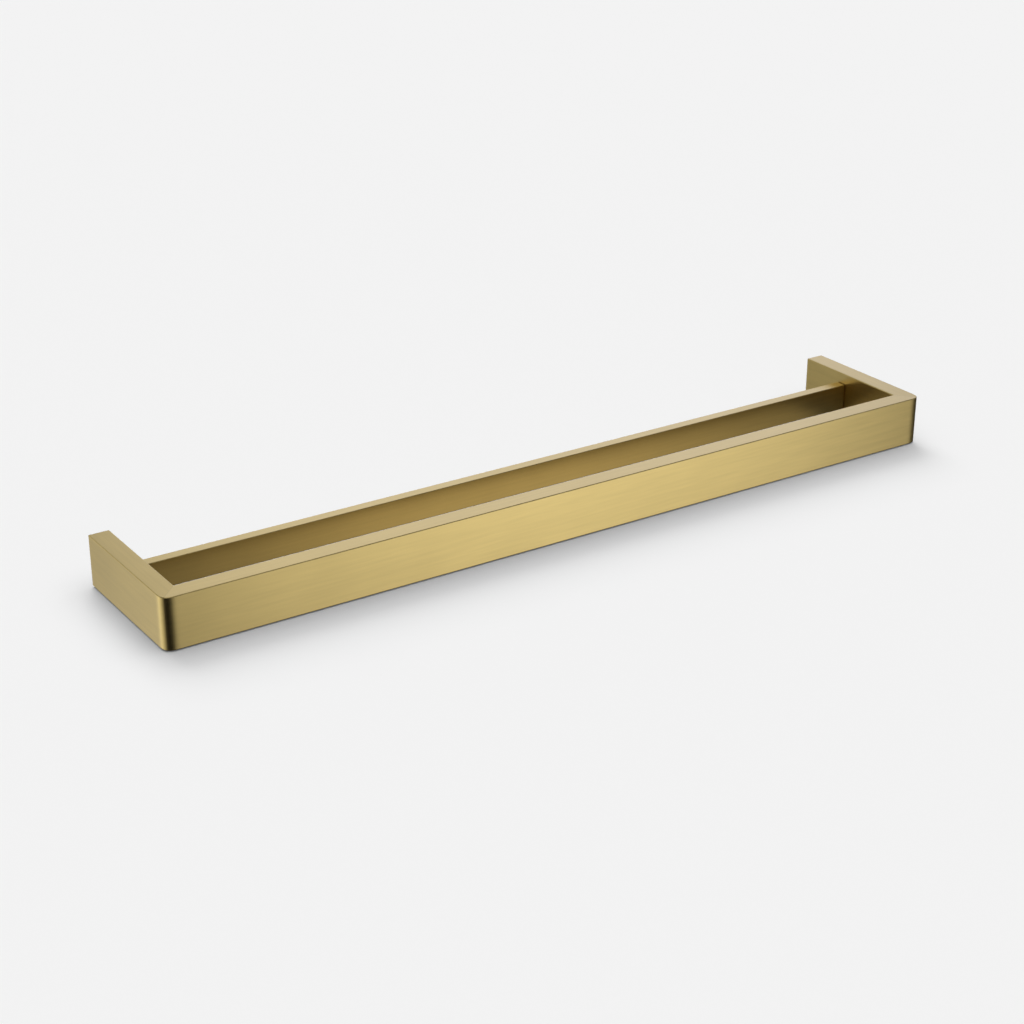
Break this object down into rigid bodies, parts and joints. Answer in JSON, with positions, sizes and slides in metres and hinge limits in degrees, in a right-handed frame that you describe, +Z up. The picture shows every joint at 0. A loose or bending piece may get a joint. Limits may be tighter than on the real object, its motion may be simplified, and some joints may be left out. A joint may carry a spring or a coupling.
{
  "type": "towel rack",
  "caption": "Wall-mounted double towel rail: a U-shaped frame of flat brushed brass tube with a slimmer rear rail between its arms.",
  "frame": {"origin": "centre of the four wall screw holes, in the wall plane, at the middle of the frame's height", "axes": "+X along the rails, to the right as seen from the room; +Y into the wall; +Z up"},
  "size_m": [0.6, 0.108, 0.035],
  "materials": {
    "brass_rail": "brushed along the rail",
    "brass_arm": "brushed along the arm",
    "bare_metal": "machined, uncoated",
    "bracket_steel": "zinc plated",
    "screw_steel": "plain stainless"
  },
  "bodies": {
    "wall_brackets": {"left_wall_bracket": "bracket_steel", "right_wall_bracket": "bracket_steel"},
    "rack": {"front_rail": "brass_rail", "left_arm": "brass_arm", "right_arm": "brass_arm", "rear_rail": "brass_rail", "left_rail_plug": "bare_metal", "right_rail_plug": "bare_metal", "left_screw_block": "bare_metal", "right_screw_block": "bare_metal"},
    "left_screw": {"left_set_screw": "screw_steel"},
    "right_screw": {"right_set_screw": "screw_steel"}
  },
  "joints": [
    {"name": "rack_lift_off", "type": "slide", "parent": "wall_brackets", "child": "rack", "axis": [0, -1, 0], "range_m": [0, 0.03]},
    {"name": "left_set_screw_out", "type": "slide", "parent": "rack", "child": "left_screw", "axis": [0, 0, -1], "range_m": [0, 0.001]},
    {"name": "right_set_screw_out", "type": "slide", "parent": "rack", "child": "right_screw", "axis": [0, 0, -1], "range_m": [0, 0.001]}
  ]
}
